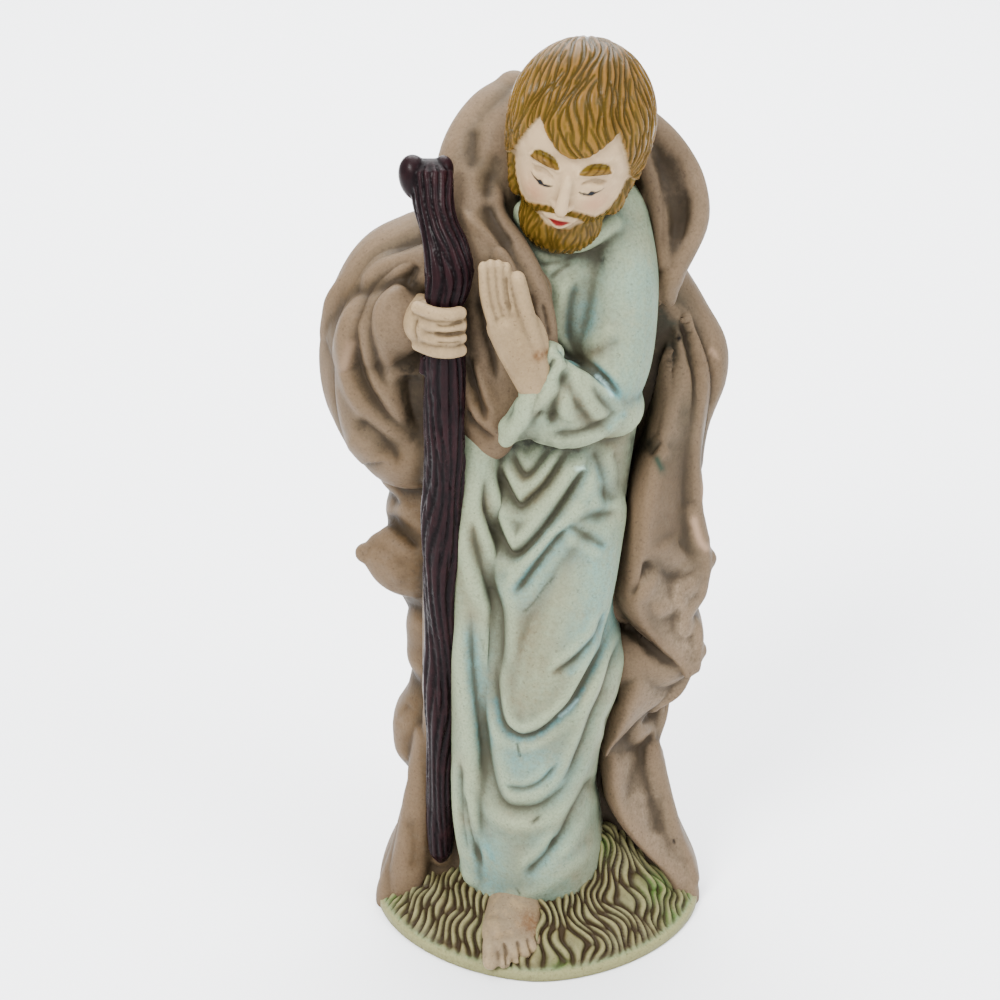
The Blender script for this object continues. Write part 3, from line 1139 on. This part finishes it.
headLook = {
    "base": paint(208, 198, 176),
    "blotches": (
        (paint(194, 180, 154), 5.0, 0.5, 0.7, 0.4),
        (paint(218, 210, 192), 2.0, 0.5, 0.7, 0.4),
    ),
    "recess": paint(160, 140, 112), "recessAmount": 0.5,
    "hair": paint(150, 125, 36),
    "hairDark": paint(86, 60, 12),
    "hairLight": paint(192, 160, 92),
    "hairTop": paint(100, 80, 20),
    "lip": paint(176, 44, 44),
    "lash": paint(40, 44, 50),
    "blush": paint(206, 164, 132),
    "rough": (0.46, 0.26),  # skin, hair
    "shine": 0.06, "bump": 0.2,
}


def headMasses():
    turn = figure["headTurn"]

    def lump(name, centre, radii):
        return egg(name, onHead(*centre), radii, turn)

    def roll(name, stations, facing=(0, -1, 0)):
        return limb(name, [(*onHead(*s[:3]), *s[3:]) for s in stations], facing, 16)

    made = [
        lump("skull", (0, 1.0, 2.2), (12.3, 13.3, 14.2)),
        lump("face", (0, -3.4, -3.0), (9.8, 10.6, 12.6)),
        lump("jaw", (0, -5.6, -10.4), (7.4, 6.8, 6.6)),
        lump("beardMass", (0, -7.2, -13.2), (7.2, 5.8, 6.4)),
        roll("nose", [(0, -13.4, 1.2, 0.8, 0.9), (0, -14.6, -2.0, 0.95, 1.0), (0, -15.5, -4.4, 1.2, 1.2)]),
        roll("upperLip", [(-2.4, -12.9, -8.3, 0.5, 0.5), (0, -13.9, -7.8, 0.6, 0.6), (2.4, -12.9, -8.3, 0.5, 0.5)]),
        roll("lowerLip", [(-1.8, -12.7, -9.2, 0.5, 0.5), (0, -13.6, -9.4, 0.75, 0.7), (1.8, -12.7, -9.2, 0.5, 0.5)]),
    ]
    for side in (-1, 1):
        made.append(roll("sideburn", [
            (side * 9.8, -2.4, 3, 1.6, 2.6), (side * 9.2, -3.8, -3, 1.3, 2.2), (side * 7.8, -5.6, -9, 1.5, 2.2),
        ], (side, 0, 0)))
        made.append(roll("browRidge", [
            (side * 1.8, -12.9, 2.0, 0.6, 0.6), (side * 4.4, -12.2, 2.6, 0.7, 0.7),
            (side * 7.0, -10.4, 2.1, 0.6, 0.6)]))
        made.append(roll("cheek", [(side * 4.6, -11.0, -3.6, 1.9, 1.5), (side * 5.4, -10.2, -5.4, 1.7, 1.3)]))
        made.append(roll("nostril", [(side * 1.1, -14.0, -4.9, 0.7, 0.75), (side * 1.25, -13.6, -5.0, 0.6, 0.7)]))
        made.append(lump("eyelid", (side * 4.3, -10.9, -0.7), (2.2, 1.9, 1.35)))
    return made


def inHead(points):
    turn = np.array(Euler([math.radians(a) for a in figure["headTurn"]]).to_matrix())
    return (points - figure["head"]) @ turn


def hairShares(local):
    # how far hair and beard cover each point, 0 to 1
    x, y, z = local.T
    roundIt = np.degrees(np.abs(np.arctan2(x, -y)))
    hairline = np.interp(roundIt, (0, 12, 24, 38, 48, 57, 70, 100), (4.4, 5.0, 6.8, 8.8, 3.4, -1.0, -3.6, -6.0))
    hair = np.clip((z - hairline) / 0.5 + 0.5, 0, 1)
    chin = np.interp(roundIt, (0, 10, 18, 28, 42, 58, 72), (-10.9, -10.7, -9.4, -8.2, -7.4, -3.6, -1.6))
    beard = np.clip((chin - z) / 0.5 + 0.5, 0, 1) * np.clip((96 - roundIt) / 10, 0, 1) * (1 - hair)
    upperLip = np.zeros(len(local))
    for side in (-1, 1):
        path = curveThrough(np.array([[0.1, -6.3], [2.4, -6.7], [4.6, -8.2], [6.0, -10.6]]) * (side, 1), 6)
        gap, _ = nearLine(local[:, [0, 2]], path)
        upperLip = np.maximum(upperLip, np.clip((1.25 - np.abs(gap)) / 0.35, 0, 1) * (y < -6))
    return hair, np.maximum(beard, upperLip * (1 - hair))


def combGrooves(local, hair):
    # carved lines that flow from the crown, staggered so that they begin and end one between another
    crown = np.array(headSize["crown"]) / np.linalg.norm(headSize["crown"])
    right = np.cross(crown, (0.0, 1.0, 0.0))
    right /= np.linalg.norm(right)
    ahead = np.cross(right, crown)
    flat = local / np.linalg.norm(local, axis=1)[:, None]
    reach = np.arccos(np.clip(flat @ crown, -1, 1))
    swing = np.arctan2(flat @ right, flat @ ahead)
    depth = np.zeros(len(local))
    chance = np.random.default_rng(7)
    for middle in np.radians((14, 30, 48, 66, 84, 102, 120)):
        row = np.flatnonzero((np.abs(reach - middle) < math.radians(25)) & (hair > 0))
        out, round_ = reach[row], swing[row]
        count = int(2 * math.pi * headSize["hairRound"] * math.sin(middle) / headSize["grooves"])
        for k in range(count):
            start = middle - math.radians(chance.uniform(12, 22))
            end = middle + math.radians(chance.uniform(12, 24))
            aim = 2 * math.pi * (k + chance.uniform(-0.22, 0.22)) / count
            bend, wave = chance.uniform(-0.05, 0.05), chance.uniform(0.02, 0.05)
            share = (out - start) / (end - start)
            line = aim + 0.16 * np.sin(out * 3.2 + 2 * aim) + bend * share + wave * np.sin(share * 6.0 + k)
            gap = np.abs((round_ - line + math.pi) % (2 * math.pi) - math.pi) * np.sin(out) * headSize["hairRound"]
            on = (share > 0) & (share < 1) & (gap < 1.6)
            taper = np.clip(np.sin(math.pi * np.clip(share[on], 0, 1)), 0, 1) ** 0.6
            depth[row[on]] = np.maximum(depth[row[on]], taper * np.exp(-((gap[on] / headSize["grooveHalf"]) ** 2)))
    return depth * hair


def combBeard(local, beard):
    # short curling strands in rows, each row lapping the one above
    x, y, z = local.T
    swing = np.arctan2(x, -y)
    depth = np.zeros(len(local))
    chance = np.random.default_rng(11)
    row = np.flatnonzero(beard > 0)
    height, round_ = z[row], swing[row]
    for level in (-3.0, -6.5, -10.0, -13.0, -16.0, -18.5):
        for k in range(34):
            aim = math.radians(-88 + 176 * (k + chance.uniform(-0.25, 0.25)) / 33)
            middle = level + chance.uniform(-1.2, 1.2) + 0.4 * math.cos(3 * aim)
            half = chance.uniform(2.4, 3.8)
            share = (height - middle) / half
            gap = np.abs(round_ - aim - 0.03 * np.sin(share * 3 + k)) * headSize["beardRound"]
            on = (np.abs(share) < 1) & (gap < 1.4)
            cut = (1 - share[on] ** 2) * np.exp(-((gap[on] / headSize["strandHalf"]) ** 2))
            depth[row[on]] = np.maximum(depth[row[on]], cut)
    return depth * beard


face = {
    # painted lines, across and up in the head's own axes, from the middle of the face outwards
    "brow": ((2.0, 2.4), (3.4, 2.9), (5.2, 2.9), (6.9, 2.2)),
    "lash": ((2.3, -1.3), (3.4, -1.75), (4.6, -1.8), (6.3, -1.1)),
    "fold": ((2.6, 0.3), (4.4, 0.7), (6.4, 0.1)),
    "browHalf": 0.85, "lashHalf": 0.26, "foldHalf": 0.4, "foldDepth": 0.45,
    "mouth": (0.0, -8.5), "mouthHalf": (2.1, 0.85),
    "iris": (4.5, -1.7), "irisRadius": 0.62,
    "cheek": (5.4, -4.4), "cheekRadius": 2.4, "blush": 0.35,
}


def strokedOnFace(local, path, half):
    # the same painted line on both sides of the face, pointed at its ends
    paintOn = np.zeros(len(local))
    for side in (-1, 1):
        line = curveThrough(np.array(path, float) * (side, 1), 8)
        gap, along = nearLine(local[:, [0, 2]], line)
        width = half * np.clip(np.sin(math.pi * np.clip(along * 0.9 + 0.05, 0, 1)), 0.05, 1) ** 0.6
        paintOn = np.maximum(paintOn, np.clip((width - np.abs(gap)) / 0.14 + 0.5, 0, 1))
    return paintOn * (local[:, 1] < -4)


def headPaint():
    look = headLook
    material = bpy.data.materials.new("headPaint")
    material.use_nodes = True
    tree = material.node_tree
    shader = tree.nodes["Principled BSDF"]
    place = addNode(tree, "ShaderNodeTexCoord").outputs["Object"]
    skin = look["base"]
    for tone, size, low, high, amount in look["blotches"]:
        skin = layColour(tree, skin, tone, mathNode(tree, "MULTIPLY", spots(tree, place, size, low, high), amount))
    hollow = mathNode(tree, "MULTIPLY", readValue(tree, "hollow"), look["recessAmount"])
    skin = layColour(tree, skin, look["recess"], hollow)
    skin = layColour(tree, skin, look["blush"], readValue(tree, "blush"))
    hair = layColour(tree, look["hair"], look["hairTop"], readValue(tree, "crownShare"))
    hair = layColour(tree, hair, look["hairLight"], mathNode(tree, "MULTIPLY", readValue(tree, "groove"), -0.45))
    hair = layColour(tree, hair, look["hairDark"], mathNode(tree, "MULTIPLY", readValue(tree, "combed"), 0.7))
    dapple = mathNode(tree, "MULTIPLY", spots(tree, place, 4.0, 0.5, 0.7), 0.35)
    hair = layColour(tree, hair, look["hairDark"], dapple)
    cover = readValue(tree, "hair")
    mixed = addNode(tree, "ShaderNodeMix", data_type="RGBA")
    tree.links.new(cover, mixed.inputs[0])
    tree.links.new(skin, mixed.inputs[6])
    tree.links.new(hair, mixed.inputs[7])
    colour = mixed.outputs[2]
    colour = layColour(tree, colour, look["lip"], readValue(tree, "lip"))
    colour = layColour(tree, colour, look["lash"], readValue(tree, "lash"))
    tree.links.new(colour, shader.inputs["Base Color"])
    rough = addNode(tree, "ShaderNodeMapRange")
    rough.inputs["To Min"].default_value, rough.inputs["To Max"].default_value = look["rough"]
    tree.links.new(cover, rough.inputs["Value"])
    tree.links.new(rough.outputs["Result"], shader.inputs["Roughness"])
    shader.inputs["Specular IOR Level"].default_value = look["shine"]
    bump = addNode(tree, "ShaderNodeBump")
    bump.inputs["Strength"].default_value = look["bump"]
    bump.inputs["Distance"].default_value = 0.06 * unit
    tree.links.new(spots(tree, place, 0.5, 0.2, 0.8, 3.0), bump.inputs["Height"])
    tree.links.new(bump.outputs["Normal"], shader.inputs["Normal"])
    return material


def makeHead():
    piece = melt("head", headMasses(), headSize["step"], headSize["soften"])
    points, normals = pointsOf(piece), normalsOf(piece)
    local = inHead(points)
    hair, beard = hairShares(local)
    grooves = combGrooves(local, hair)
    strands = combBeard(local, beard)
    rise = hair * headSize["hairRise"] + beard * headSize["beardRise"]
    rise = rise - headSize["grooveDepth"] * grooves - headSize["strandDepth"] * strands
    rise -= face["foldDepth"] * strokedOnFace(local, face["fold"], face["foldHalf"]) * (1 - hair)
    placePoints(piece, points + normals * rise[:, None])
    noteHollows(piece, fine=3, broad=40, fineDepth=0.04, broadDepth=0.35)
    brows = strokedOnFace(local, face["brow"], face["browHalf"])
    covered = np.maximum(np.maximum(hair, beard), brows)
    mouth = (local[:, [0, 2]] - face["mouth"]) / face["mouthHalf"]
    lip = np.clip((1 - np.linalg.norm(mouth, axis=1)) * 4, 0, 1) * (local[:, 1] < -9)
    covered *= 1 - np.clip((1.25 - np.linalg.norm(mouth / 1.5, axis=1)) * 3, 0, 1) * (local[:, 1] < -9)
    across = np.column_stack([np.abs(local[:, 0]), local[:, 2]])  # both sides of the face at once
    iris = np.clip((face["irisRadius"] - np.linalg.norm(across - face["iris"], axis=1)) / 0.15, 0, 1)
    lash = np.maximum(strokedOnFace(local, face["lash"], face["lashHalf"]), iris * (local[:, 1] < -4))
    combed = np.maximum(grooves, strands)
    stripes = np.clip(np.sin(np.abs(local[:, 0]) * 4.6 - local[:, 2] * 4.6) * 1.2 - 0.1, 0, 1)
    combed = np.maximum(combed, brows * (1 - hair) * stripes)
    note(piece, "hair", covered)
    note(piece, "combed", combed)
    note(piece, "lip", lip)
    note(piece, "lash", lash)
    cheeks = np.linalg.norm(across - face["cheek"], axis=1) / face["cheekRadius"]
    note(piece, "blush", face["blush"] * np.exp(-(cheeks**2)) * (local[:, 1] < -4))
    note(piece, "crownShare", np.clip((local[:, 2] - 8) / 8, 0, 1) * 0.8)
    finishPiece(piece, headPaint())


# the grassy mound

mound = {
    "rim": 1.8, "margin": 1.2, "dome": 12.0, "frontPower": 1.78, "backPower": 1.9, "backShare": 0.74,
    "around": 680, "rings": 116,
    "blades": 190, "bladeHeight": 1.2, "bladeLength": 6.4,
    "root": (-3.0, 27.0),  # the point behind the figure that the blades fan out from
    "bank": (18.0, -8.0, 6.5, 7.0),  # where grass climbs the hem: x, y, spread, height
    "hemRoom": 1.2, "toeRoom": 0.4, "back": 1.5,
    # where it is greener, in the picture's pixels: across, down, size
    "greens": ((384, 896, 14), (656, 888, 15), (698, 898, 14), (600, 846, 12), (392, 926, 10), (676, 918, 12),
               (560, 972, 12), (470, 972, 10)),
}

grassLook = {
    "base": paint(148, 146, 108),
    "blotches": (
        (paint(116, 94, 54), 5.0, 0.4, 0.58, 0.75),
        (paint(166, 168, 128), 3.0, 0.5, 0.7, 0.5),
    ),
    "layers": (
        (paint(92, 70, 40), "between", 0.95),
        (paint(130, 164, 84), "green", 0.85),
        (paint(178, 186, 156), "rim", 0.9),
    ),
    "grain": 1.6, "cover": 0.65,
    "crest": paint(190, 186, 150), "crestAmount": 0.75,
    "recess": paint(82, 62, 36), "recessAmount": 0.8,
    "line": paint(70, 50, 26), "lineAmount": 0.5,
    "speck": paint(100, 80, 50), "speckAmount": 0.4,
    "dirt": 0.5, "marks": (),
    "rough": (0.42, 0.58), "shine": 0.08, "bump": 0.3,
}


def moundPlan():
    left, right = figure["corners"]
    middle = np.array([(left[0] + right[0]) / 2, (left[1] + right[1]) / 2 + mound["back"]])
    wide = (right[0] - left[0]) / 2 + mound["hemRoom"] + mound["margin"]
    near = middle[1] - figure["toes"][1] + mound["toeRoom"] + mound["margin"]
    return middle, wide, near, near * mound["backShare"]


def makeMound():
    middle, wide, near, far = moundPlan()
    angle = np.linspace(0, 2 * math.pi, mound["around"], endpoint=False)
    across, deep = np.cos(angle), np.sin(angle)
    power = np.where(deep > 0, mound["backPower"], mound["frontPower"])
    plan = np.column_stack([
        np.sign(across) * np.abs(across) ** (2 / power) * wide,
        np.sign(deep) * np.abs(deep) ** (2 / power) * np.where(deep > 0, far, near)])
    steps = [(0.4, 0.0), (0.8, 0.0), (0.985, 0.0), (1.0, 0.25), (1.0, 1.0), (1.0, mound["rim"])]
    for share in np.linspace(0.997, 0.1, mound["rings"]):
        steps.append((share, mound["rim"] + mound["dome"] * (1 - share**2)))
    rings = [np.column_stack([middle + plan * share, np.full(len(plan), z)]) for share, z in steps]
    piece = ballOfRings("mound", rings)
    piece.data.name = "mound"
    points = pointsOf(piece)
    flat = points[:, :2]
    fromMiddle = flat - middle
    powers = np.where(fromMiddle[:, 1] > 0, mound["backPower"], mound["frontPower"])
    reach = np.where(fromMiddle[:, 1] > 0, far, near)
    acrossPart = (np.abs(fromMiddle[:, 0]) / wide) ** powers
    deepPart = (np.abs(fromMiddle[:, 1]) / reach) ** powers
    share = (acrossPart + deepPart) ** (1 / powers)  # 0 in the middle, 1 on the rim
    fromRoot = flat - mound["root"]
    away = np.linalg.norm(fromRoot, axis=1)
    turn = np.arctan2(fromRoot[:, 0], -fromRoot[:, 1])
    wavy = np.clip((flat[:, 0] + 6) / 16, 0.25, 1)
    phase = turn / (2 * math.pi) * mound["blades"]
    phase += wavy * (0.7 * np.sin(0.55 * away + 13.0 * turn) + 0.8 * np.sin(0.34 * away - 8.0 * turn))
    phase += 0.25 * np.sin(0.9 * away - 31.0 * turn)
    which = np.floor(phase).astype(int) % mound["blades"]
    chance = np.random.default_rng(5)
    start, rows = chance.uniform(0, 1, mound["blades"]), chance.uniform(0.8, 1.25, mound["blades"])
    tuft = (away / (mound["bladeLength"] * rows[which]) + start[which]) % 1.0
    body = np.clip(np.sin(math.pi * tuft), 0.02, 1) ** 0.5
    ridge = np.clip(1 - (np.abs(2 * (phase % 1.0) - 1) / (0.25 + 0.7 * body)) ** 2, 0, 1) ** 0.7
    blade = ridge * (0.15 + 0.85 * body)
    x, y, spread, height = mound["bank"]
    points[:, 2] += height * np.exp(-((points[:, 0] - x) ** 2 + (points[:, 1] - y) ** 2) / spread**2)
    placePoints(piece, points)
    normals = normalsOf(piece)
    fade = np.clip((0.985 - share) * 18, 0, 1)
    lift = mound["bladeHeight"] * (blade - 0.45) * fade * (points[:, 2] > 1.0)
    placePoints(piece, points + normals * lift[:, None])
    noteHollows(piece, fine=3, broad=20, fineDepth=0.05, broadDepth=0.3)
    note(piece, "between", np.clip(0.95 - 1.5 * blade, 0, 1) * fade)
    note(piece, "rim", np.clip((share - 0.955) * 30, 0, 1))
    seen = asSeen(points)
    green = np.zeros(len(points))
    for u, v, size in mound["greens"]:
        green = np.maximum(green, np.exp(-((np.linalg.norm(seen - (u, v), axis=1) / size) ** 2)))
    note(piece, "green", green * 0.9)
    finishPiece(piece, paintedBisque("grassPaint", grassLook))


makeCloak()
makeRobe()
makeHead()
makeHands()
makeStaff()
makeFoot()
makeMound()


# floor, light and camera

stage = {
    "floor": (0.82, 0.825, 0.84, 1.0), "wide": 3.0, "deep": 1.2, "bend": 0.35, "bendSteps": 12, "wall": 1.4,
    "lights": (
        # place in metres, width, power, colour
        ((-0.50, -0.70, 0.90), 0.40, 29.0, (1.0, 0.99, 0.97)),
        ((0.75, -0.50, 0.65), 0.50, 11.0, (0.96, 0.98, 1.0)),
        ((0.0, 0.10, 1.1), 0.80, 13.0, (1.0, 1.0, 1.0)),
        ((0.0, 0.75, 0.9), 0.90, 36.0, (0.98, 0.99, 1.0)),
    ),
    "world": 1.5, "sky": (0.95, 0.97, 1.0, 1.0),
}


def makeStage():
    bpy.ops.object.select_all(action="DESELECT")
    bpy.ops.mesh.primitive_plane_add(size=stage["wide"])
    floor = bpy.context.object
    floor.name = "floor"
    bpy.ops.object.mode_set(mode="EDIT")
    bpy.ops.mesh.select_all(action="DESELECT")
    bpy.ops.object.mode_set(mode="OBJECT")
    for vertex in floor.data.vertices:
        if vertex.co.y > 0:
            vertex.co.y = stage["deep"]
    for edge in floor.data.edges:
        edge.select = all(floor.data.vertices[i].co.y > 0 for i in edge.vertices)
    bpy.ops.object.mode_set(mode="EDIT")
    bpy.ops.mesh.select_mode(type="EDGE")
    span = stage["bend"] * math.pi / 2 / stage["bendSteps"]
    for i in range(stage["bendSteps"]):  # the floor turns up into a wall in a smooth bend
        a = math.radians(90 * (i + 0.5) / stage["bendSteps"])
        bpy.ops.mesh.extrude_region_move(
            TRANSFORM_OT_translate={"value": (0, span * math.cos(a), span * math.sin(a))})
    bpy.ops.mesh.extrude_region_move(TRANSFORM_OT_translate={"value": (0, 0, stage["wall"])})
    bpy.ops.object.mode_set(mode="OBJECT")
    for polygon in floor.data.polygons:
        polygon.use_smooth = True
    paper = bpy.data.materials.new("paper")
    paper.use_nodes = True
    shader = paper.node_tree.nodes["Principled BSDF"]
    shader.inputs["Base Color"].default_value = stage["floor"]
    shader.inputs["Roughness"].default_value = 0.9
    shader.inputs["Specular IOR Level"].default_value = 0.1
    floor.data.materials.append(paper)
    for i, (place, size, power, colour) in enumerate(stage["lights"]):
        bpy.ops.object.light_add(type="AREA", location=place)
        lamp = bpy.context.object
        lamp.name = f"softbox{i}"
        lamp.data.size = size
        lamp.data.energy = power
        lamp.data.color = colour
        aim = Vector((0, place[1] if place[1] > 0.5 else 0, 0.09)) - Vector(place)
        lamp.rotation_euler = aim.to_track_quat("-Z", "Y").to_euler()
    world = bpy.data.worlds.new("studio")
    bpy.context.scene.world = world
    world.use_nodes = True
    world.node_tree.nodes["Background"].inputs["Color"].default_value = stage["sky"]
    world.node_tree.nodes["Background"].inputs["Strength"].default_value = stage["world"]
    place = (eye - gridMiddle) * unit
    bpy.ops.object.camera_add(location=place, rotation=(math.pi / 2 - tilt, 0, 0))
    camera = bpy.context.object
    camera.name = "photoView"
    camera.data.sensor_width = view["sensor"]
    camera.data.lens = view["lens"]
    camera.data.clip_start = 0.01
    bpy.context.scene.camera = camera


makeStage()
print("stage set")
